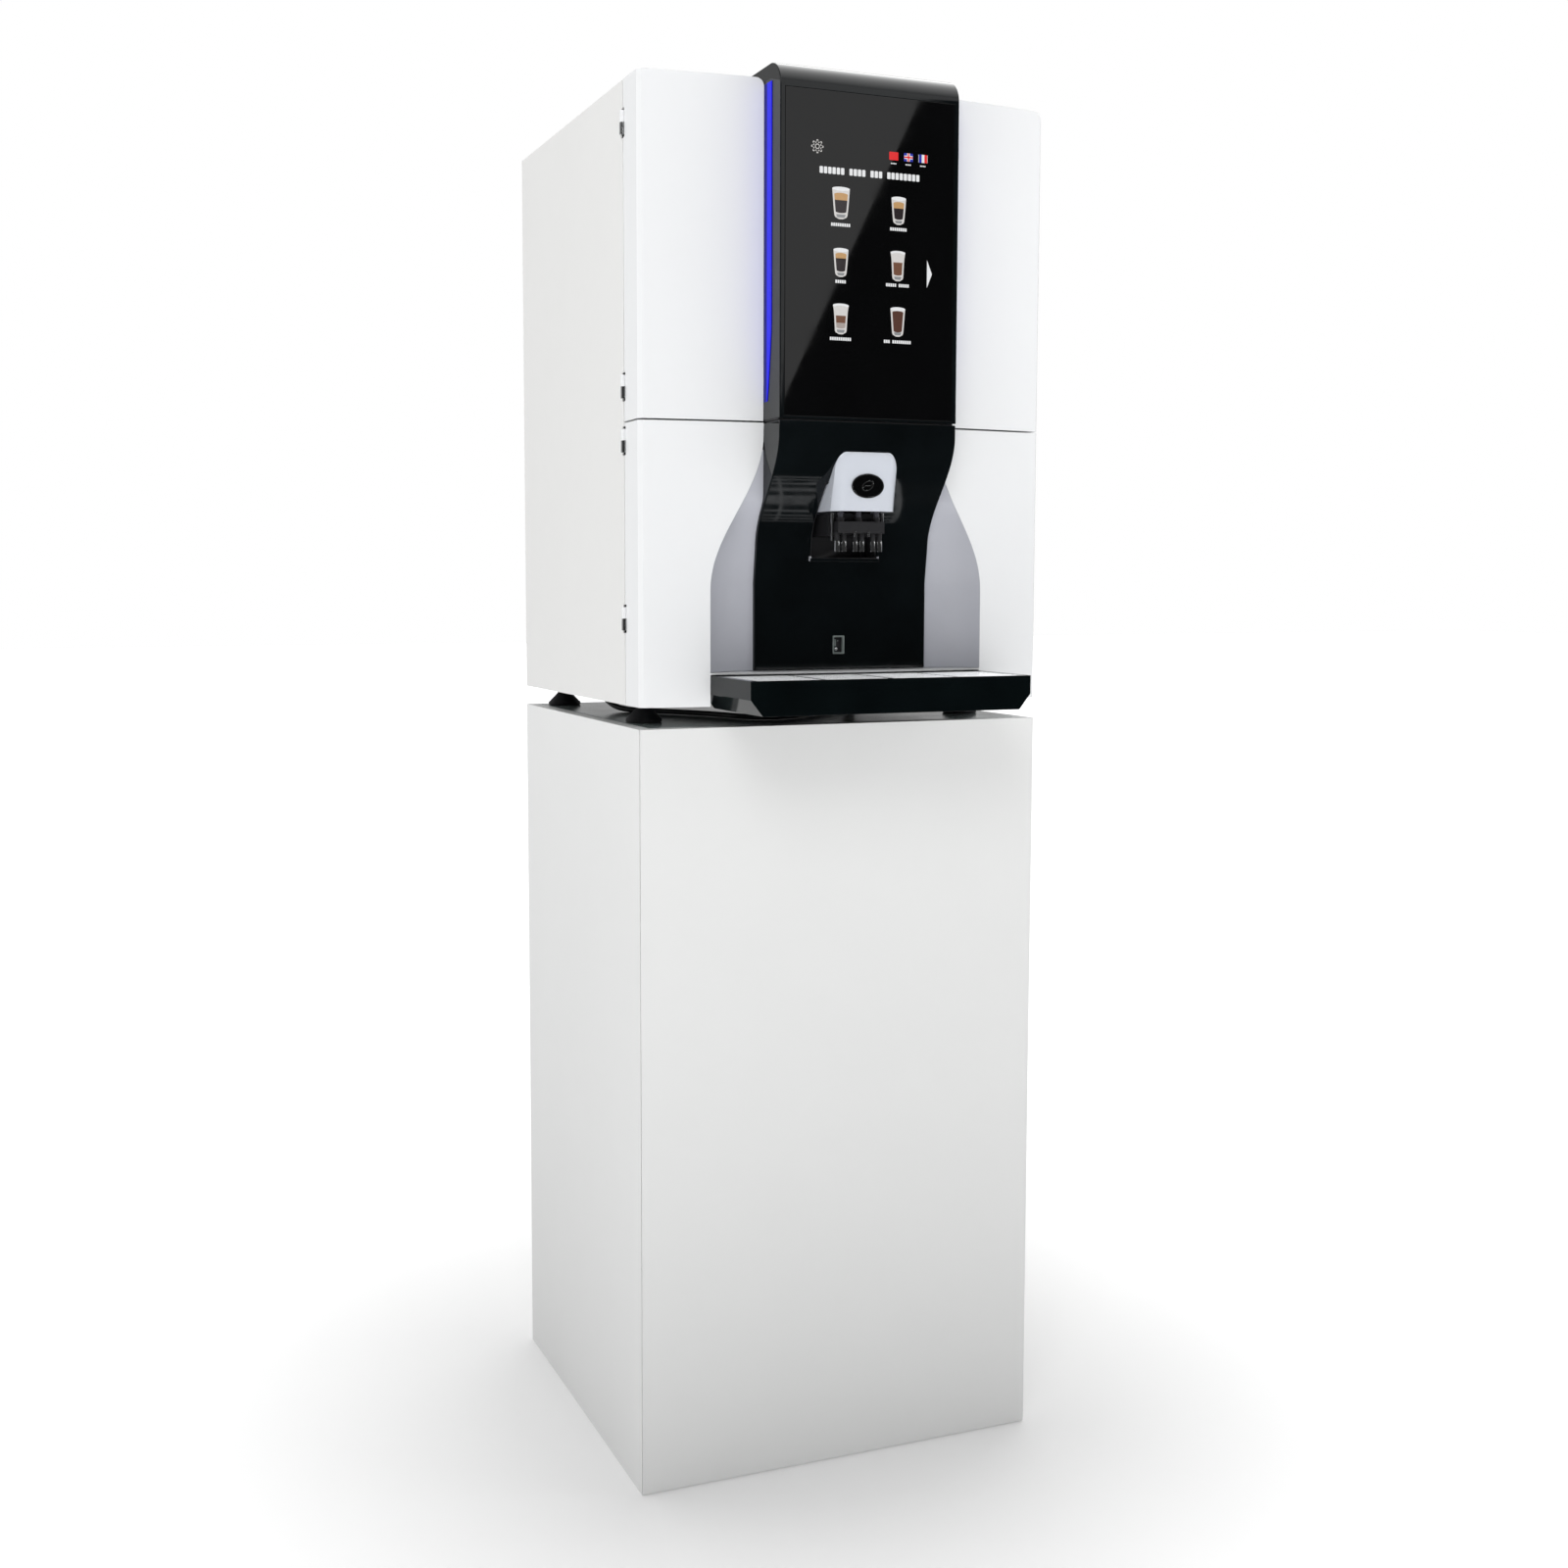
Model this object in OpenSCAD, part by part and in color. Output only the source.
// Table-top hot drinks vending machine standing on its own base cabinet.
// Origin: centre of the cabinet's footprint on the floor. +Z up, front towards -Y.

/* [Overall] */
// Width of the cabinet and of the machine
width = 540; // [520:5:560]
// Depth of the cabinet, and of the machine with its doors
depth = 500; // [490:5:520]
// Height of the base cabinet
base_h = 949; // [900:1:1000]
// Height of the machine above its feet
body_h = 740; // [730:5:760]
// Height of the levelling feet
foot_h = 26; // [24:1:28]

/* [Doors] */
// Depth of the side return of both doors
door_d = 52; // [50:1:54]
// Gap between the doors and the machine body
hinge_gap = 3; // [3:0.5:4]
// Height of the seam between lower and upper door
seam_z = 340; // [336:1:344]
// Bow of the door fronts in plan
bow = 18; // [12:1:22]
// Wall thickness of the moulded door shells
shell_t = 3; // [2.5:0.5:3.5]

/* [Front strip] */
// Half width of the black central strip
strip_hw = 117; // [112:1:120]
// How far the strip stands in front of the door's corners
strip_out = 62; // [56:1:66]
// How far the crown of the strip rises over the machine's top
crown = 12; // [8:1:14]
// Radius of the crown's front edge
crown_r = 30; // [24:1:34]

/* [Dispensing area] */
// Half width of the dispensing recess at the drip tray
recess_hw = 183.5; // [178:0.5:186]
// Height where the recess starts to narrow
neck_low = 140; // [130:5:150]
// Height where the recess has narrowed to the strip
neck_top = 325; // [320:1:330]
// Depth of the lower black panel behind the doors' front corners
panel_y = 13; // [11:0.5:15]
// How far the drip tray stands out in front of the door's corners
tray_out = 135; // [120:1:145]
// Height of the drip tray's rim above the door's lower edge
tray_top = 37; // [35:1:38]

/* [Base cabinet] */
// Thickness of the cabinet's boards
board_t = 18; // [16:1:19]
// Height of the shelf's upper face
shelf_z = 488; // [440:1:520]

/* [Mains lead] */
// Diameter of the mains lead
cord_d = 7.4; // [7:0.1:7.6]

/* [Hidden] */
$fn = 48;
sheet_t = 2;                        // steel sheet of the machine's panels
hw = width / 2;                     // half width
z0 = base_h + foot_h;               // door's lower edge above the floor
body_y = door_d + hinge_gap;        // front of the machine body
in_hw = hw - sheet_t;               // inner half width between the side panels
back_y = depth - sheet_t;           // inner face of the back panel
upper_z = seam_z + 1;               // lower edge of the upper door
lower_top = seam_z - 1;             // upper edge of the lower door
bulk_y = 240;                       // front face of the bulkhead
shelf_in = 330;                     // underside of the equipment shelf
milk_x = 0;                         // centre line of the milk unit
choc_x = 170;                       // centre line of the chocolate unit
bean_x = -180;                      // centre line of hopper, grinder and brewer
auger_z = 358;                      // height of the auger shafts
whip_z = 236;                       // height of the whipper shafts
hinge_x = -hw;                      // vertical hinge axis of both doors
hinge_y = door_d + hinge_gap / 2;
hinge_zs = [105, 318, 382, 690];    // heights of the four door hinges
foot_x = 225;
foot_ys = [115, 460];
lid_y = 234;                        // hinge axis of the canister lids
lid_z = 563;
fan_x = 150;
fan_z = 640;
lock_y = 30;
lock_z = 420;
bin_low = 22;                       // underside of the grounds bin, on its runners
bin_top = 120;                      // rim of the grounds bin
piston_r = 24;
boiler_x = -100;
gland_x = -205;
gland_y = 450;
gland_z = 14;
cord_r = cord_d / 2;
lead_z = -foot_h + cord_r + 0.1;    // centre of the lead lying on the cabinet's top
shelf_lead_z = shelf_z - z0 + cord_r + 0.1;
grommet = [148, 298];               // centre of the cable hole in the cabinet's top
grommet_r = 30;
coil_c = [104, 380];                // centre of the coil on the shelf
coil_r = 40.7;                      // middle of the coil's turns

// Route of the lead from its gland to the coil, in the machine's frame
route = [
    [-205, 424, 14], [-205, 408, 13], [-205, 385, 9], [-205, 360, 0],
    [-203, 335, -11], [-198, 310, -19], [-188, 284, lead_z], [-172, 255, lead_z],
    [-152, 225, lead_z], [-132, 195, lead_z], [-117, 168, lead_z], [-106, 140, lead_z],
    [-97, 114, lead_z], [-80, 94, lead_z], [-55, 88, lead_z], [-28, 97, lead_z],
    [0, 116, lead_z], [28, 140, lead_z], [56, 168, lead_z], [82, 198, lead_z],
    [104, 228, lead_z], [118.8, 250, lead_z], [125.5, 261, lead_z], [132.4, 272.3, lead_z],
    [140.4, 285.4, -25.2], [147.1, 296.5, -33.9], [151.6, 303.9, -46.9], [153.2, 306.5, -62.2],
    [153.2, 306.5, -77.9], [153.2, 306.5, -100], [153.1, 306.5, -140], [153, 306.5, -200],
    [152.9, 306.5, -280], [152.8, 306.5, -360], [152.7, 306.5, -405], [152.7, 306.5, -427],
    [152.6, 306.5, -443.2], [152.4, 309.5, -458.5], [152.3, 318.2, -471.5], [152.2, 331.2, -480.2],
    [152.1, 346.5, shelf_lead_z], [152.1, 362, shelf_lead_z], [152.1, 380, shelf_lead_z]
];

// ---- frames and outlines ----

// Cabinet frame: y = 0 at its front, z = 0 on the floor
module cab() { translate([0, -depth / 2, 0]) children(); }

// Machine frame: y = 0 at the doors' front corners, z = 0 at their lower edge
module mach() { translate([0, -depth / 2, z0]) children(); }

// A box from its lowest to its highest corner
module box(a, b) { translate(a) cube(b - a); }

// A cylinder along Y from y1 to y2
module cyl_y(x, z, y1, y2, r) { translate([x, y1, z]) rotate([-90, 0, 0]) cylinder(h = y2 - y1, r = r); }

// A cylinder along X from x1 to x2
module cyl_x(y, z, x1, x2, r) { translate([x1, y, z]) rotate([0, 90, 0]) cylinder(h = x2 - x1, r = r); }

// A cylinder along Z from z1 to z2
module cyl_z(x, y, z1, z2, r) { translate([x, y, z1]) cylinder(h = z2 - z1, r = r); }

// A drawing in X and Z, extruded along Y from y1 to y2
module slab_y(y1, y2) { translate([0, y2, 0]) rotate([90, 0, 0]) linear_extrude(y2 - y1) children(); }

// A drawing in Y and Z, extruded along X from x1 to x2
module slab_x(x1, x2) { translate([x1, 0, 0]) rotate([90, 0, 90]) linear_extrude(x2 - x1) children(); }

// Bowed front of the doors in plan
function bow_y(x) = -bow * (1 - pow(x / hw, 2));

// Half width of the recess at height z
function neck_hw(z) = z <= neck_low ? recess_hw : z >= neck_top ? strip_hw :
    strip_hw + (recess_hw - strip_hw) * (1 + cos(180 * (z - neck_low) / (neck_top - neck_low))) / 2;

// Front line of the black panel at height z: flush with the strip, then swept back
sweep_top = neck_top;
sweep_low = 190;
sweep_foot = 148;                   // below this height the panel stands upright
sweep_mid = panel_y - 6;
function panel_front(z) = z >= sweep_top ? -strip_out : z >= sweep_low ?
    -strip_out + (strip_out + sweep_mid) * (1 - cos(180 * (sweep_top - z) / (sweep_top - sweep_low))) / 2 :
    z >= sweep_foot ? sweep_mid + 6 * (sweep_low - z) / (sweep_low - sweep_foot) : panel_y;

// Plan of a door front: chamfered left corner, inset by t
module door_plan(t) {
    chamfer = 5;
    polygon(concat(
        [[-hw + t, door_d], [-hw + t, chamfer]],
        [for (i = [0:24]) let (x = -hw + chamfer + t / 2 + (width - chamfer - 3 - t) * i / 24)
            [x, bow_y(x) + t]],
        [[hw - t, 3 + t], [hw - t, door_d]]
    ));
}

// Front outline of the recess between two heights, grown by g
module recess_outline(z1, z2, g) {
    steps = 24;
    zs = concat([z1], [for (i = [0:steps]) neck_low + (neck_top - neck_low) * i / steps], [z2]);
    polygon(concat(
        [for (z = zs) [neck_hw(z) + g, z]],
        [for (i = [len(zs) - 1:-1:0]) [-neck_hw(zs[i]) - g, zs[i]]]
    ));
}

// ---- base cabinet ----

module base_side(s) {
    mitre_gap = 2;
    color("gainsboro") cab() linear_extrude(base_h) polygon([
        [s * hw, mitre_gap], [s * (hw - board_t), board_t + mitre_gap],
        [s * (hw - board_t), depth], [s * hw, depth]]);
}

module base_back() {
    color("gainsboro") cab() difference() {
        box([-hw + board_t, depth - 12, 0], [hw - board_t, depth, base_h]);
        for (x = [-150, 150]) cyl_y(x, 820, depth - 13, depth + 1, 30);
    }
}

module base_board(z1, z2, y1) {
    cab() box([-hw + board_t, y1, z1], [hw - board_t, depth - 12, z2]);
}

module base_top() {
    color("lightgray") difference() {
        base_board(base_h - board_t, base_h, board_t + 1.5);
        cab() cyl_z(grommet[0], grommet[1], base_h - 40, base_h + 10, grommet_r);
    }
}

module base_floor() { color("gainsboro") base_board(0, board_t, board_t + 1.5); }

module base_shelf() { color("gainsboro") base_board(shelf_z - board_t, shelf_z, board_t + 20); }

module base_door() {
    cup_r = 17.5;
    color("whitesmoke") cab() difference() {
        translate([0, 0, 2]) linear_extrude(base_h - 2)
            polygon([[-hw, 0], [hw, 0], [hw - board_t, board_t], [-hw + board_t, board_t]]);
        for (z = [100, base_h - 100]) cyl_y(-hw + 46, z, board_t - 12, board_t + 1, cup_r);
    }
}

// ---- machine shell ----

// Clearance for the four door hinges at the left front edge
module hinge_notches(y1, y2) {
    for (z = hinge_zs) box([-hw - 1, y1, z - 17], [-hw + 6, y2, z + 17]);
}

module left_side_panel() {
    color("whitesmoke") mach() difference() {
        union() {
            box([-hw, body_y, 0], [-in_hw, depth, body_h]);
            box([-in_hw, body_y, sheet_t], [-in_hw + 16, body_y + sheet_t, body_h - sheet_t]);
        }
        hinge_notches(body_y - 1, body_y + 5);
    }
}

module right_side_panel() {
    color("whitesmoke") mach() {
        box([in_hw, body_y, 0], [hw, depth, body_h]);
        box([in_hw - 16, body_y, sheet_t], [in_hw, body_y + sheet_t, body_h - sheet_t]);
    }
}

module roof_panel() {
    color("whitesmoke") mach() box([-in_hw, body_y, body_h - sheet_t], [in_hw, back_y, body_h]);
}

module back_panel() {
    color("silver") mach() difference() {
        box([-in_hw, back_y, 0], [in_hw, depth, body_h]);
        cyl_y(fan_x, fan_z, back_y - 1, depth + 1, 50);
        box([-219, back_y - 1, 46], [-191, depth + 1, 68]);
        for (i = [0:7]) box([-200, back_y - 1, 560 + 16 * i], [-80, depth + 1, 566 + 16 * i]);
        for (i = [0:7]) box([80, back_y - 1, 120 + 16 * i], [200, depth + 1, 126 + 16 * i]);
    }
}

// Floor sheet with a raised pocket, so the lead leaves it level
module chassis_floor() {
    color("silver") mach() difference() {
        union() {
            box([-in_hw, body_y + sheet_t, 0], [in_hw, back_y, sheet_t]);
            box([gland_x - 32, 290, 0], [gland_x + 32, gland_y + 2, 34]);
            for (x = [-256, -118]) box([x, 66, 0], [x + 14, 232, bin_low]);
        }
        box([gland_x - 30, 292, -1], [gland_x + 30, gland_y, 32]);
        for (x = [-foot_x, foot_x]) for (y = foot_ys) cyl_z(x, y, -1, sheet_t + 1, 5.05);
        cyl_y(gland_x, gland_z, gland_y - 1, gland_y + 3, 8);
    }
}

module equipment_shelf() {
    color("silver") mach() difference() {
        union() {
            box([-in_hw, 122, shelf_in], [in_hw, bulk_y, shelf_in + sheet_t]);
            box([-in_hw, bulk_y, sheet_t], [in_hw, bulk_y + sheet_t, 640]);
        }
        for (x = [milk_x, choc_x]) {
            cyl_y(x, auger_z, bulk_y - 1, bulk_y + 3, 9);
            cyl_y(x, whip_z, bulk_y - 1, bulk_y + 3, 9);
        }
    }
}

// One fixed hinge knuckle with its pin, on a leaf inside the side panel
module hinge_bracket(z) {
    cyl_z(hinge_x, hinge_y, z - 14, z, 4);
    cyl_z(hinge_x, hinge_y, z - 14, z + 13, 1.9);
    box([hinge_x, hinge_y - 1, z - 14], [-in_hw + 3, hinge_y + 1, z]);
    box([-in_hw + 1, hinge_y - 1, z - 14], [-in_hw + 3, body_y + 30, z]);
    box([-in_hw, body_y + 8, z - 14], [-in_hw + 3, body_y + 30, z]);
}

module hinge_brackets() { color("silver") mach() for (z = hinge_zs) hinge_bracket(z); }

// ---- ingredients ----

module canister(x) {
    outer = 70;
    wall = 2.5;
    color("white", 0.8) mach() difference() {
        union() {
            box([x - outer, 98, shelf_in + sheet_t], [x + outer, lid_y - 2, lid_z - 3]);
            cyl_y(x, auger_z, 70, 100, 22);
            cyl_z(x, 86, 318, auger_z, 14);
        }
        slab_y(98 + wall, lid_y - 2 - wall)
            polygon([[x - outer + wall, lid_z], [x + outer - wall, lid_z], [x + outer - wall, 430],
                [x + 12, auger_z + 4], [x - 12, auger_z + 4], [x - outer + wall, 430]]);
        cyl_y(x, auger_z, 75, lid_y - 3 - wall, 19.5);
        cyl_y(x, auger_z, lid_y - 6, lid_y, 6.05);
        cyl_z(x, 86, 317, auger_z, 11.5);
    }
}

module canister_lid(x) {
    color("dimgray") mach() {
        difference() {
            box([x - 71, 96, lid_z - 2.7], [x + 71, lid_y - 4, lid_z + 3]);
            box([x - 62, 105, lid_z], [x + 62, lid_y - 13, lid_z + 4]);
        }
        box([x - 40, lid_y - 5, lid_z - 1.5], [x + 40, lid_y, lid_z + 1.5]);
    }
}

module auger(x) {
    color("white") mach() {
        difference() {
            cyl_y(x, auger_z, 78, lid_y - 3, 6);
            cyl_y(x, auger_z, 200, lid_y, 3.05);
        }
        difference() {
            cyl_y(x, auger_z, 196, 206, 12);
            cyl_y(x, auger_z, 195, 207, 5.9);
        }
        translate([x, 80, auger_z]) flight(6.3, 17.5, 2.4, 112, 4, 14);
    }
}

// Helical flight around the Y axis, between two radii, of a given thickness, length and turns
module flight(r1, r2, t, length, turns, per) {
    n = turns * per;
    pts = [for (i = [0:n]) let (a = 360 * i / per, y = (length - t) * i / n)
        for (c = [[r1, 0], [r2, 0], [r2, t], [r1, t]]) [c[0] * cos(a), y + c[1], c[0] * sin(a)]];
    faces = concat([[0, 1, 2], [0, 2, 3]],
        [for (i = [0:n - 1]) for (k = [0:3]) let (a = 4 * i + k, b = 4 * i + (k + 1) % 4)
            for (f = [[a, b + 4, b], [a, a + 4, b + 4]]) f],
        [[4 * n, 4 * n + 2, 4 * n + 1], [4 * n, 4 * n + 3, 4 * n + 2]]);
    polyhedron(pts, faces);
}

module mixer_motors() {
    color("dimgray") mach() for (x = [milk_x, choc_x]) {
        cyl_y(x, auger_z, bulk_y + sheet_t, 290, 26);
        cyl_y(x, auger_z, 205, 245, 3);
        cyl_y(x, whip_z, bulk_y + sheet_t, 310, 22);
        cyl_y(x, whip_z, 190, 245, 2.45);
    }
}

module mixing_bowl(x) {
    difference() {
        union() {
            cyl_y(x, whip_z, 92, bulk_y - 10, 24);
            cyl_y(x, whip_z, bulk_y - 10, bulk_y, 32);
            cyl_z(x, 96, whip_z, 272, 17);
            translate([x, 96, 272]) cylinder(h = 36, r1 = 17, r2 = 37);
            cyl_z(x, 104, 196, whip_z, 8);
        }
        cyl_y(x, whip_z, 95, bulk_y - 12, 21);
        cyl_y(x, whip_z, 95, bulk_y + 1, 8);
        cyl_z(x, 96, whip_z, 273, 14.5);
        translate([x, 96, 272.5]) cylinder(h = 36, r1 = 14.5, r2 = 35);
        cyl_z(x, 104, 195, whip_z, 5.5);
    }
}

module mixing_bowls() { color("dimgray") mach() for (x = [milk_x, choc_x]) mixing_bowl(x); }

module whipper(x) {
    color("white") mach() difference() {
        union() {
            cyl_y(x, whip_z, 112, 226, 4.5);
            cyl_y(x, whip_z, 112, 116, 17);
            for (a = [0:45:315]) translate([x, 0, whip_z]) rotate([0, a, 0]) box([4, 115, -1], [16, 124, 1]);
        }
        cyl_y(x, whip_z, 180, 227, 2.5);
    }
}

module bean_hopper() {
    outer = 70;
    wall = 2.5;
    x = bean_x;
    color("saddlebrown", 0.7) mach() difference() {
        union() {
            box([x - outer, 98, 470], [x + outer, lid_y - 2, lid_z - 3]);
            cyl_z(x, 165, 458, 471, 24);
        }
        slab_y(98 + wall, lid_y - 2 - wall)
            polygon([[x - outer + wall, lid_z], [x + outer - wall, lid_z], [x + outer - wall, 515],
                [x + 21, 473], [x - 21, 473], [x - outer + wall, 515]]);
        cyl_z(x, 165, 457, 475, 21);
    }
}

module grinder_body() {
    x = bean_x;
    color("dimgray") mach() difference() {
        union() {
            cyl_z(x, 165, shelf_in + sheet_t, 400, 40);
            cyl_z(x, 165, 400, 458, 48);
            box([x - 17, 99, 312], [x + 17, 121, 440]);
        }
        cyl_z(x, 165, 412, 459, 36);
        cyl_z(x, 165, 375, 413, 5.05);
        box([x - 14, 102, 311], [x + 14, 118, 436]);
        box([x - 14, 110, 414], [x + 14, 135, 436]);
    }
}

module grinder_burr() {
    x = bean_x;
    color("silver") mach() {
        cyl_z(x, 165, 378, 418, 5);
        cyl_z(x, 165, 416, 430, 28);
        translate([x, 165, 430]) cylinder(h = 16, r1 = 26, r2 = 10);
        for (a = [0:60:300]) translate([x, 165, 0]) rotate([0, 0, a]) box([8, -2, 429], [27, 2, 438]);
    }
}

module brew_chamber() {
    x = bean_x;
    y = 125;
    color("dimgray") mach() difference() {
        union() {
            cyl_z(x, y, 190, 280, 30);
            translate([x, y, 280]) cylinder(h = 24, r1 = 30, r2 = 42);
            box([x - 36, 120, 150], [x + 36, bulk_y, 262]);
            box([x - 36, 96, 150], [x + 36, 121, 162]);
        }
        cyl_z(x, y, 170, 281, piston_r + 0.06);
        translate([x, y, 279.5]) cylinder(h = 25, r1 = 25, r2 = 39);
        cyl_z(x, y, 149, 171, 8.06);
        box([x - 26, 165, 149], [x + 26, bulk_y - 4, 258]);
    }
}

module brew_piston() {
    color("silver") mach() {
        cyl_z(bean_x, 125, 196, 212, piston_r);
        cyl_z(bean_x, 125, 122, 197, 8);
    }
}

module grounds_bin() {
    color("dimgray") mach() difference() {
        box([-256, 66, bin_low], [-104, 232, bin_top]);
        box([-253, 69, bin_low + 3], [-107, 229, bin_top + 1]);
    }
}

// ---- water, power and air ----

module boiler() {
    color("silver") mach() {
        cyl_z(boiler_x, 370, 30, 250, 55);
        cyl_z(boiler_x, 370, 250, 262, 40);
        cyl_z(boiler_x, 370, 262, 290, 6);
        for (a = [45:90:315]) translate([boiler_x, 370, 0]) rotate([0, 0, a])
            box([44, -8, sheet_t], [52, 8, 31]);
    }
}

module water_pump() {
    color("dimgray") mach() {
        cyl_y(40, 45, 300, 370, 28);
        cyl_y(40, 45, 370, 400, 18);
        box([12, 300, sheet_t], [68, 370, 30]);
        cyl_y(40, 45, 400, 420, 5);
    }
}

module power_supply() {
    color("silver") mach() difference() {
        box([80, 320, sheet_t], [205, 470, 90]);
        for (i = [0:5]) box([92 + 18 * i, 319, 20], [98 + 18 * i, 330, 74]);
    }
}

// A moulded elbow of the outlet hoses
module elbow(x, y) { cyl_z(x, y, 178.5, 191.5, 6.4); }

// Three outlet hoses, from brewer and mixing bowls to the docking face behind the nozzles
module outlet_hoses() {
    r = 5;
    brew_y = 87;
    color("white") mach() {
        cyl_z(milk_x, 104, 185, 195.5, r);
        cyl_y(milk_x, 185, 54.5, 104, r);
        elbow(milk_x, 104);
        cyl_z(choc_x, 104, 185, 195.5, r);
        cyl_x(104, 185, 24, choc_x, r);
        cyl_y(24, 185, 54.5, 104, r);
        elbow(24, 104);
        elbow(choc_x, 104);
        cyl_y(-24, 185, 54.5, brew_y, r);
        cyl_x(brew_y, 185, bean_x, -24, r);
        elbow(-24, brew_y);
        cyl_y(bean_x, 185, brew_y, 94.5, r);
        elbow(bean_x, brew_y);
    }
}

module fan_frame() {
    color("black") mach() difference() {
        box([fan_x - 60, back_y - 25, fan_z - 60], [fan_x + 60, back_y, fan_z + 60]);
        cyl_y(fan_x, fan_z, back_y - 26, back_y + 1, 56);
    }
    color("black") mach() {
        cyl_y(fan_x, fan_z, back_y - 4, back_y, 18);
        cyl_y(fan_x, fan_z, back_y - 20, back_y - 3, 2);
        for (a = [45:90:315]) translate([fan_x, 0, fan_z]) rotate([0, a, 0])
            box([17, back_y - 3, -3], [57.5, back_y, 3]);
    }
}

module fan_rotor() {
    color("black") mach() {
        difference() {
            cyl_y(fan_x, fan_z, back_y - 24, back_y - 5, 19);
            cyl_y(fan_x, fan_z, back_y - 21, back_y - 4, 2.05);
        }
        for (a = [0:51.43:309]) translate([fan_x, back_y - 14, fan_z]) rotate([0, a, 0])
            rotate([35, 0, 0]) box([18, -8, -1], [53, 8, 1]);
    }
}

module power_switch() {
    color("black") mach() slab_x(-217.5, -192.5)
        polygon([[depth - 6, 48], [depth + 2, 48], [depth + 0.5, 57], [depth + 3.5, 66], [depth - 6, 66]]);
}

module levelling_foot(x, y) {
    color("black") mach() translate([x, y, -foot_h]) {
        cylinder(h = 5, r = 23);
        translate([0, 0, 5]) cylinder(h = 13, r1 = 22, r2 = 9);
        cylinder(h = foot_h + 18, r = 5);
        translate([0, 0, foot_h - 5]) cylinder(h = 5, r = 9);
    }
}

// ---- upper door ----

// Moving hinge knuckle with its bore, on a leaf inside the door
module door_knuckle(z) {
    difference() {
        union() {
            cyl_z(hinge_x, hinge_y, z + 0.3, z + 14, 4);
            box([hinge_x, hinge_y - 4, z + 0.3], [-hw + 6, hinge_y - 1.5, z + 14]);
            box([-hw + shell_t, 30, z + 0.3], [-hw + 6, hinge_y - 1.5, z + 14]);
        }
        cyl_z(hinge_x, hinge_y, z - 1, z + 15, 1.95);
    }
}

strip_x = strip_hw + 0.5;            // inner edge of the upper door's wings
top_corners = [[hw, 1, 14], [-strip_x, 1, 10], [strip_x, -1, 10]];

// The square around a rounded top corner, given as its edge, the side it faces and its radius
module corner_zone(c) {
    a = c[0] - c[1] * c[2];
    b = c[0] + c[1];
    box([min(a, b), -bow - 5, body_h - c[2]], [max(a, b), door_d + 1, body_h + 1]);
}

module corner_round(c, t) { cyl_y(c[0] - c[1] * c[2], body_h - c[2], -bow - 6, door_d + 2, c[2] - t); }

module upper_door_shell() {
    color("white") mach() {
        difference() {
            translate([0, 0, upper_z]) linear_extrude(body_h - upper_z) door_plan(0);
            translate([0, 0, upper_z + shell_t]) linear_extrude(body_h - upper_z - 2 * shell_t)
                difference() {
                    door_plan(shell_t);
                    translate([-hw, door_d - 2]) square([width, 10]);
                }
            box([-hw + shell_t, door_d - 2.5, upper_z + shell_t],
                [hw - shell_t, door_d + 1, body_h - shell_t]);
            box([-strip_x, -bow - 5, upper_z - 1], [strip_x, door_d + 1, body_h + 1]);
            for (c = top_corners) difference() {
                corner_zone(c);
                corner_round(c, 0);
            }
            hinge_notches(door_d - 4, door_d + 1);
            cyl_x(lock_y, lock_z, hw - 5, hw + 1, 9.3);
        }
        for (c = top_corners) intersection() {
            translate([0, 0, upper_z]) linear_extrude(body_h - upper_z) door_plan(0);
            difference() {
                corner_zone(c);
                corner_round(c, shell_t);
            }
            corner_round(c, 0);
        }
        for (z = [hinge_zs[2], hinge_zs[3]]) door_knuckle(z);
    }
}

module door_liner(z1, z2) {
    box([-hw + shell_t + 4, door_d - 2, z1], [hw - shell_t, door_d, z2]);
}

module upper_door_liner() {
    color("silver") mach() difference() {
        door_liner(upper_z + shell_t, body_h - shell_t - 11);
        for (z = hinge_zs) box([-hw, door_d - 5, z - 17], [-hw + 12, door_d + 1, z + 17]);
    }
}

// Side line of the strip: flat front, round crown and a flat top that runs back
module strip_side(t) {
    top = body_h + crown;
    r = crown_r;
    polygon(concat(
        [[-strip_out + t, upper_z], [-strip_out + t, top - r]],
        [for (a = [0:9:90]) [-strip_out + r - (r - t) * cos(a), top - r + (r - t) * sin(a)]],
        [[door_d, top - t], [door_d, upper_z]]
    ));
}

glass_hw = strip_hw - 6;
glass_low = upper_z + 3;
glass_top = body_h + crown - crown_r - 2;

module screen_housing() {
    color("black") mach() difference() {
        slab_x(-strip_hw, strip_hw) strip_side(0);
        slab_x(-strip_hw + 4, strip_hw - 4) difference() {
            strip_side(4);
            translate([-100, upper_z - 1]) square([200, 5]);
        }
        box([-glass_hw, -strip_out - 1, glass_low], [glass_hw, -strip_out + 3, glass_top]);
        box([-90, -strip_out - 1, 385], [90, -strip_out + 6, 700]);
        box([-strip_hw - 1, door_d - 2, upper_z - 1], [strip_hw + 1, door_d + 1, body_h - shell_t - 11]);
        box([-strip_hw + 4, door_d - 5, upper_z + 3], [strip_hw - 4, door_d + 1, body_h]);
    }
}

module touch_glass() {
    color("black", 0.9) mach()
        box([-glass_hw + 0.3, -strip_out, glass_low + 0.3],
            [glass_hw - 0.3, -strip_out + 3, glass_top - 0.3]);
}

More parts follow.
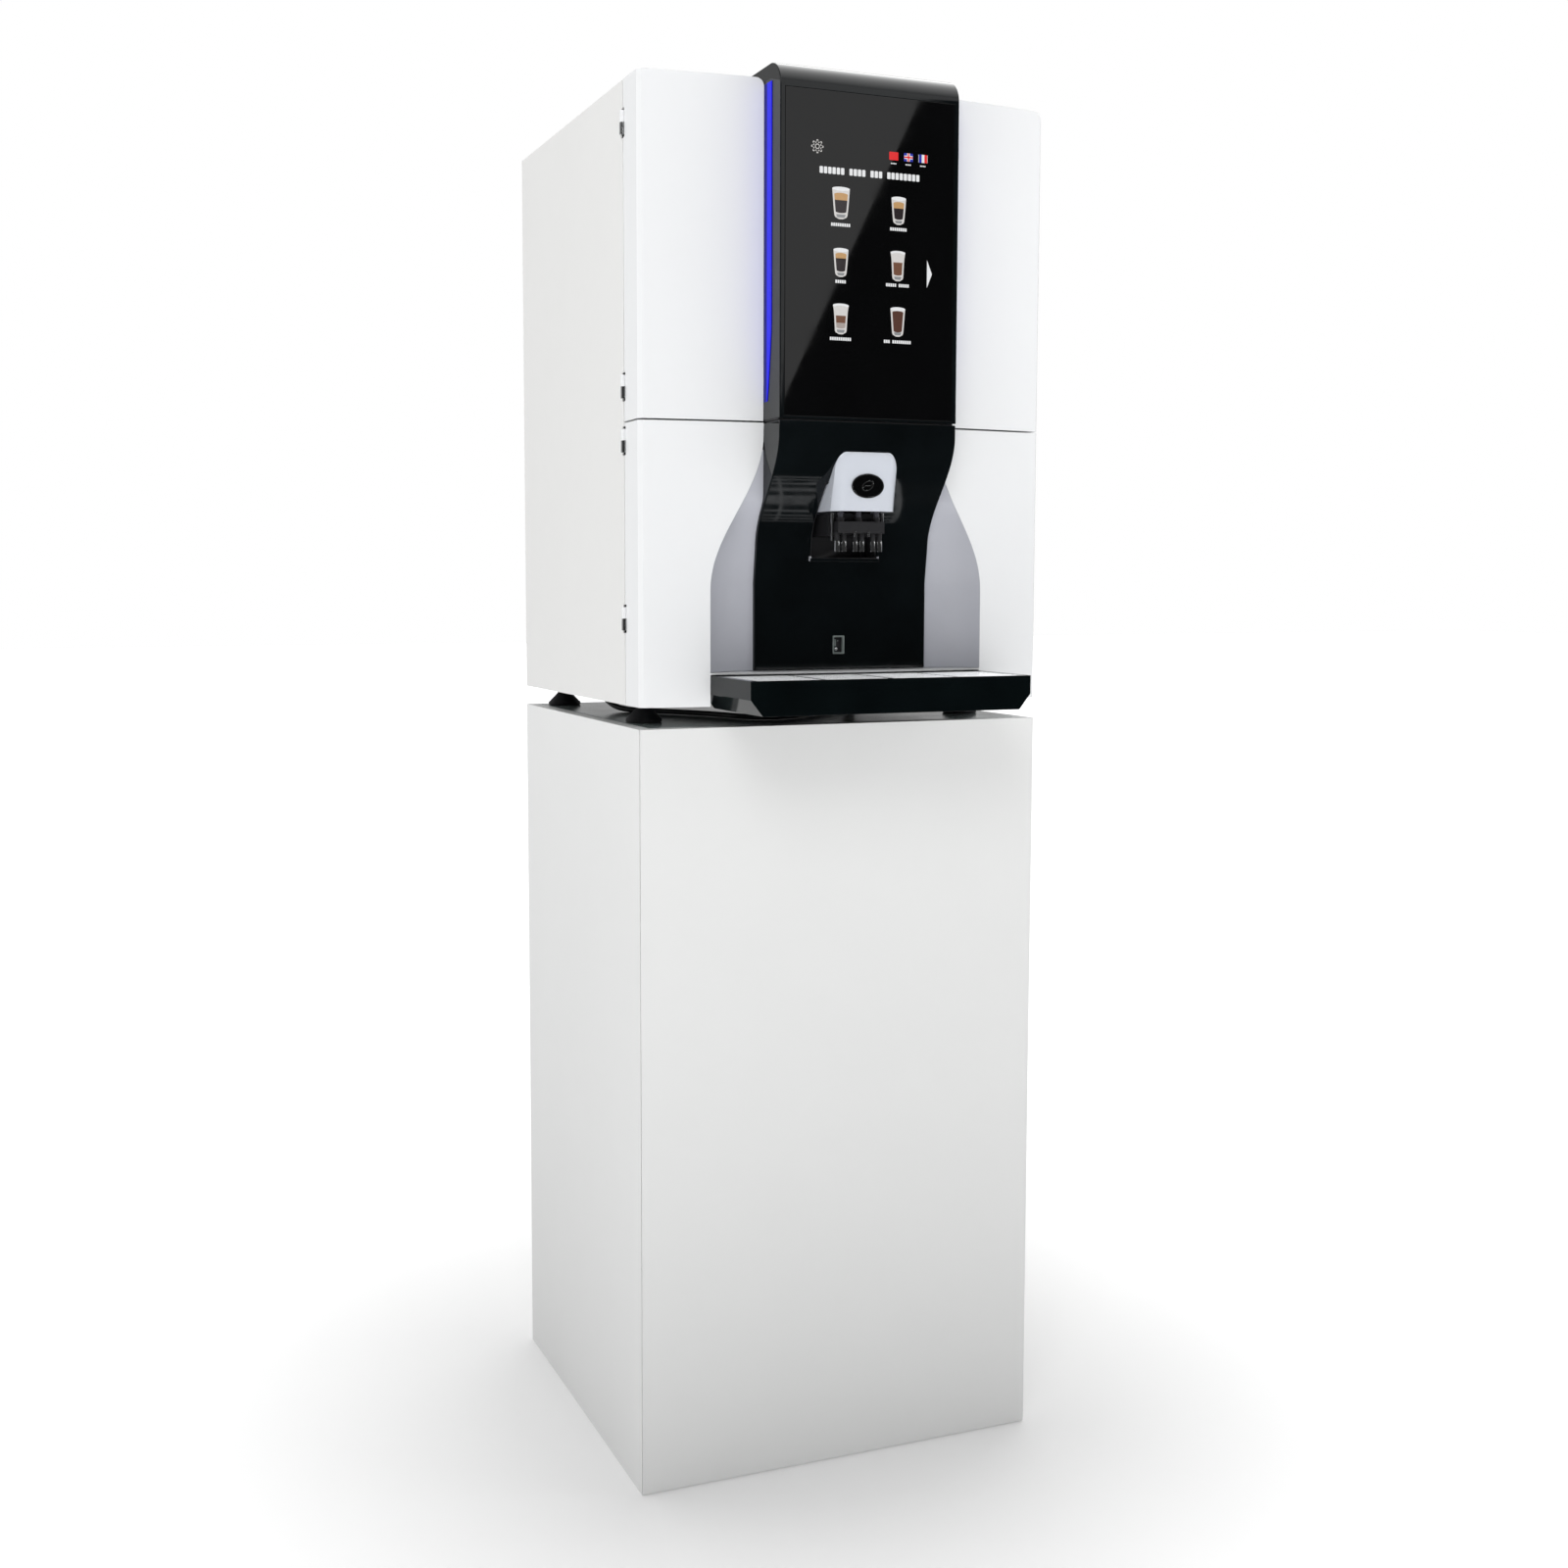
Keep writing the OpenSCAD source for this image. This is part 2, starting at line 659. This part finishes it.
module control_board() {
    color("green") mach() {
        box([-88, -strip_out + 3, 388], [88, -strip_out + 18, 698]);
        box([-75, 20, 420], [75, 22, 640]);
        for (z = [440, 620]) for (x = [-60, 60]) box([x - 4, -strip_out + 17, z - 4], [x + 4, 21, z + 4]);
        for (z = [460, 520, 570]) box([-40, 21, z], [-5, 34, z + 30]);
        box([15, 21, 470], [55, 30, 600]);
    }
}

module door_lock() {
    color("silver") mach() difference() {
        union() {
            cyl_x(lock_y, lock_z, hw - 20, hw, 9.25);
            cyl_x(lock_y, lock_z, hw, hw + 2, 11);
            box([hw - 20, lock_y - 6, lock_z - 6], [hw - 17, lock_y + 6, lock_z + 18]);
        }
        box([hw - 3, lock_y - 0.8, lock_z - 4], [hw + 3, lock_y + 0.8, lock_z + 4]);
    }
}

// ---- lower door ----

module lower_door_shell() {
    color("white") mach() {
        difference() {
            linear_extrude(lower_top) door_plan(0);
            translate([0, 0, shell_t]) linear_extrude(lower_top - 2 * shell_t)
                difference() {
                    door_plan(shell_t);
                    translate([-hw, door_d - 2]) square([width, 10]);
                }
            box([-hw + shell_t, door_d - 2.5, shell_t], [hw - shell_t, door_d + 1, lower_top - shell_t]);
            slab_y(-bow - 5, 8) recess_outline(-1, lower_top + 1, 0);
            box([-strip_hw, 0, -1], [strip_hw, door_d + 1, lower_top + 1]);
            box([-recess_hw, 0, -1], [recess_hw, panel_y + 7, 4]);
            hinge_notches(door_d - 4, door_d + 1);
        }
        box([-recess_hw, panel_y + 7, 0], [recess_hw, panel_y + 9, tray_top + 4]);
        intersection() {
            box([-recess_hw, -20, tray_top + 1], [recess_hw, panel_y + 8, tray_top + 3.5]);
            linear_extrude(100) door_plan(0);
        }
        for (z = [hinge_zs[0], hinge_zs[1]]) door_knuckle(z);
    }
}

module lower_door_liner() {
    color("silver") mach() difference() {
        door_liner(shell_t, lower_top - shell_t);
        box([-40, door_d - 3, 170], [40, door_d + 1, 200]);
        for (z = hinge_zs) box([-hw, door_d - 5, z - 17], [-hw + 12, door_d + 1, z + 17]);
    }
}

// Side line of the black panel, as a band between its front and d behind it
module panel_band(d, z1, z2) {
    sweep = [for (i = [0:20]) sweep_low + (sweep_top - sweep_low) * i / 20];
    zs = concat([z1, sweep_foot, 169], sweep, [z2]);
    polygon(concat(
        [for (z = zs) [panel_front(z), z]],
        [for (i = [len(zs) - 1:-1:0]) [d == 0 ? door_d - 3 : panel_front(zs[i]) + d, zs[i]]]
    ));
}

module dispense_panel() {
    low = tray_top + 4.5;
    top = lower_top;
    sensor_x = -3.8;
    sensor_hw = 8.2;
    color("black") mach() difference() {
        slab_x(-strip_hw, strip_hw) panel_band(0, low, top);
        slab_x(-strip_hw + 3, strip_hw - 3) translate([4, 0]) panel_band(0, low - 1, top + 1);
        box([-45, -70, 178], [45, 60, 268]);
        box([sensor_x - sensor_hw, panel_y - 5, 60], [sensor_x + sensor_hw, panel_y + 5, 83]);
    }
}

// A curved side of the recess, from the shell's edge back to the black panel
module cove(s) {
    nu = 8;
    nz = 24;
    low = tray_top + 4;
    t = 2;
    heights = concat([low], [for (i = [0:nz]) neck_low + (neck_top - 18 - neck_low) * i / nz]);
    rows = len(heights);
    function cheek_y(z) = max(panel_front(z) + 5, bow_y(strip_hw) + 0.5);
    function cove_pt(u, z, d) = let (
        e = neck_hw(z) - 0.2,
        x = e + (strip_hw + 0.2 - e) * u,
        y1 = bow_y(e) + 0.5,
        y = y1 + (cheek_y(z) - y1) * (1 - pow(1 - u, 2.2))) [s * x, y + d, z];
    front = [for (z = heights) for (i = [0:nu]) cove_pt(i / nu, z, 0)];
    rear = [for (z = heights) for (i = [0:nu]) cove_pt(i / nu, z, t)];
    n = (nu + 1) * rows;
    function id(r, i, b) = b * n + r * (nu + 1) + i;
    sheet = [for (r = [0:rows - 2]) for (i = [0:nu - 1]) for (f = [
        [id(r, i, 0), id(r + 1, i, 0), id(r + 1, i + 1, 0)],
        [id(r, i, 0), id(r + 1, i + 1, 0), id(r, i + 1, 0)],
        [id(r, i, 1), id(r + 1, i + 1, 1), id(r + 1, i, 1)],
        [id(r, i, 1), id(r, i + 1, 1), id(r + 1, i + 1, 1)]]) f];
    ends = [for (i = [0:nu - 1]) for (f = [
        [id(0, i, 0), id(0, i + 1, 0), id(0, i + 1, 1)], [id(0, i, 0), id(0, i + 1, 1), id(0, i, 1)],
        [id(rows - 1, i, 0), id(rows - 1, i + 1, 1), id(rows - 1, i + 1, 0)],
        [id(rows - 1, i, 0), id(rows - 1, i, 1), id(rows - 1, i + 1, 1)]]) f];
    sides = [for (r = [0:rows - 2]) for (f = [
        [id(r, 0, 0), id(r, 0, 1), id(r + 1, 0, 1)], [id(r, 0, 0), id(r + 1, 0, 1), id(r + 1, 0, 0)],
        [id(r, nu, 0), id(r + 1, nu, 1), id(r, nu, 1)],
        [id(r, nu, 0), id(r + 1, nu, 0), id(r + 1, nu, 1)]]) f];
    faces = concat(sheet, ends, sides);
    polyhedron(concat(front, rear), s < 0 ? faces : [for (f = faces) [f[0], f[2], f[1]]]);
}

module door_coves() { color("silver") mach() for (s = [-1, 1]) cove(s); }

head_low = 234;                     // lower and upper edge of the head cover
head_top = 304;
head_foot_hw = 42;                  // its half width at the bottom and below its rounded top
head_hw = 40.5;
head_front = -59.5;                 // its front at the top, and at the bottom
head_foot_y = -53;

// Front outline of the head cover, inset by t
module head_outline(t) {
    r = 13 - t / 2;
    top = head_top - t;
    w = head_hw - t;
    foot = head_foot_hw - t;
    union() {
        polygon([[-foot, head_low], [foot, head_low], [w, top - r],
            [w - r, top], [-w + r, top], [-w, top - r]]);
        for (s = [-1, 1]) translate([s * (w - r), top - r]) circle(r);
    }
}

// Back line of the head cover: along the black panel, then through its window
function head_back(z, t) = z < 266 ? head_front + (head_top - z) * 1.064 + 2 * t :
    panel_front(z) + (t > 0 ? 5 : -0.1);

module head_side(t) {
    zs = concat([head_low - 1, 250, 265.9], [for (z = [266:3:head_top + 1]) z]);
    polygon(concat([[head_foot_y + t, head_low - 1], [head_front + t, head_top + 1]],
        [for (i = [len(zs) - 1:-1:0]) [head_back(zs[i], t), zs[i]]]));
}

module head_cover() {
    color("silver") mach() difference() {
        intersection() {
            slab_y(-60, 20) head_outline(0);
            slab_x(-50, 50) head_side(0);
        }
        intersection() {
            translate([0, 0, -1]) slab_y(-60, 25) head_outline(2.5);
            slab_x(-50, 50) translate([0, -1]) head_side(2.5);
        }
    }
}

nozzle_y = -33;
module nozzle_block() {
    color("black") mach() difference() {
        union() {
            box([-31, -42, 208], [31, -24, 222]);
            box([-36, -24, 205], [36, door_d - 2.2, 232]);
            box([-36, door_d - 16, 172], [36, door_d - 2.2, 206]);
            for (x = [-24, 0, 24]) for (dx = [-4.5, 4.5]) cyl_z(x + dx, nozzle_y, 186, 209, 3.2);
        }
        for (x = [-24, 0, 24]) {
            for (dx = [-4.5, 4.5]) cyl_z(x + dx, nozzle_y, 185, 215, 2);
            cyl_y(x, 185, door_d - 13, door_d, 5.5);
        }
    }
}

// Front outline of the drip tray: upright sides, then slanted to a narrower bottom
module tray_outline(t) {
    polygon([[-184 + t, tray_top + 1], [184 - t, tray_top + 1], [184 - t, 16], [168 - t * 0.7, -4 + t],
        [-168 + t * 0.7, -4 + t], [-184 + t, 16]]);
}

ledge_y = -bow - 4;                 // back edge of the grille, in front of the recess sill
slot_rows = 9;
slot_w = 6;
slot_pitch = (ledge_y + tray_out - 16 - slot_w) / (slot_rows - 1);

module drip_tray() {
    rear = panel_y + 5;
    color("black") mach() difference() {
        intersection() {
            slab_y(-tray_out, rear) tray_outline(0);
            box([-183.2, -tray_out, -4], [183.2, rear, tray_top]);
        }
        slab_y(-tray_out + 3, ledge_y - 2) tray_outline(3);
        intersection() {
            slab_y(ledge_y - 3, rear - 3) tray_outline(3);
            box([-200, ledge_y - 3, -10], [200, rear, tray_top - 7]);
        }
        box([-181, -tray_out + 2, tray_top - 4], [181, ledge_y + 0.5, tray_top + 1]);
    }
}

module drip_grille() {
    color("silver") mach() difference() {
        box([-180.5, -tray_out + 2.5, tray_top - 3.7], [180.5, ledge_y, tray_top - 0.2]);
        for (i = [0:slot_rows - 1]) for (c = [0:3])
            box([-172 + 87 * c, -tray_out + 8 + slot_pitch * i, tray_top - 6],
                [-90 + 87 * c, -tray_out + 8 + slot_pitch * i + slot_w, tray_top + 1]);
    }
}

// ---- mains lead ----

module cord_gland() {
    color("black") mach() {
        cyl_y(gland_x, gland_z, gland_y - 5, gland_y, 11);
        cyl_y(gland_x, gland_z, gland_y - 5, gland_y + 8, 7.9);
        translate([gland_x, gland_y - 26, gland_z]) rotate([-90, 0, 0]) cylinder(h = 22, r1 = 5, r2 = 7.5);
    }
}

// A point on a smooth curve through p, at t from 0 to 1 between its points i and i + 1
function at(p, i) = p[min(max(i, 0), len(p) - 1)];
function smooth(p, i, t) = let (a = at(p, i - 1), b = at(p, i), c = at(p, i + 1), d = at(p, i + 2))
    0.5 * (2 * b + (c - a) * t + (2 * a - 5 * b + 4 * c - d) * t * t + (3 * b - a - 3 * c + d) * t * t * t);
function unit(v) = v / norm(v);

module mains_cord() {
    sides = 8;
    per = 2;
    path = [for (i = [0:len(route) - 2]) for (k = [0:per - 1]) smooth(route, i, k / per)];
    pts = concat(path, [route[len(route) - 1]]);
    n = len(pts);
    dirs = [for (i = [0:n - 1]) unit(at(pts, i + 1) - at(pts, i - 1))];
    // every ring's first side faces +X as nearly as its direction allows
    rings = [for (i = [0:n - 1]) let (w = unit(cross(dirs[i], [1, 0, 0])), v = cross(w, dirs[i]))
        for (k = [0:sides - 1]) pts[i] + cord_r * (v * cos(360 * k / sides) + w * sin(360 * k / sides))];
    color("black") mach() polyhedron(rings, concat(
        [[for (k = [0:sides - 1]) k]],
        [for (i = [0:n - 2]) for (k = [0:sides - 1]) let (a = i * sides + k, b = i * sides + (k + 1) % sides)
            for (f = [[a, b + sides, b], [a, a + sides, b + sides]]) f],
        [[for (k = [sides - 1:-1:0]) (n - 1) * sides + k]]));
}

module mains_coil() {
    inner = coil_r - 1.5 * cord_d;
    color("black") mach() translate([coil_c[0], coil_c[1], shelf_z - z0 + 0.1])
        rotate_extrude() translate([inner, 0]) square([3 * cord_d, 2 * cord_d]);
}

module mains_plug() {
    x = coil_c[0] - coil_r - cord_d;
    z = shelf_z - z0 + 19.1;
    color("black") mach() {
        translate([x, 337, z]) rotate([90, 0, 0]) cylinder(h = 6, r1 = 12, r2 = 19);
        translate([x, 372, z - 2]) rotate([90, 0, 0]) cylinder(h = 36, r1 = 4.5, r2 = 8);
        cyl_y(x, z, 300, 331.5, 19);
        for (dx = [-9.5, 9.5]) cyl_y(x + dx, z, 281, 301, 2.4);
    }
}

// ---- what is drawn ----

base_side(-1);  // base_left_side
base_side(1);  // base_right_side
base_back();
base_top();
base_floor();
base_shelf();
base_door();
chassis_floor();
left_side_panel();
right_side_panel();
roof_panel();
back_panel();
equipment_shelf();
hinge_brackets();
canister(milk_x);  // milk_canister
canister(choc_x);  // chocolate_canister
canister_lid(milk_x);  // milk_lid
canister_lid(choc_x);  // chocolate_lid
auger(milk_x);  // milk_auger
auger(choc_x);  // chocolate_auger
mixer_motors();
mixing_bowls();
whipper(milk_x);  // milk_whipper
whipper(choc_x);  // chocolate_whipper
bean_hopper();
canister_lid(bean_x);  // hopper_lid
grinder_body();
grinder_burr();
brew_chamber();
brew_piston();
grounds_bin();
boiler();
water_pump();
power_supply();
outlet_hoses();
fan_frame();
fan_rotor();
power_switch();
levelling_foot(-foot_x, foot_ys[0]);  // foot_front_left
levelling_foot(foot_x, foot_ys[0]);  // foot_front_right
levelling_foot(-foot_x, foot_ys[1]);  // foot_back_left
levelling_foot(foot_x, foot_ys[1]);  // foot_back_right
upper_door_shell();
upper_door_liner();
screen_housing();
touch_glass();
control_board();
door_lock();
lower_door_shell();
lower_door_liner();
dispense_panel();
door_coves();
head_cover();
nozzle_block();
drip_tray();
drip_grille();
cord_gland();
mains_cord();
mains_coil();
mains_plug();
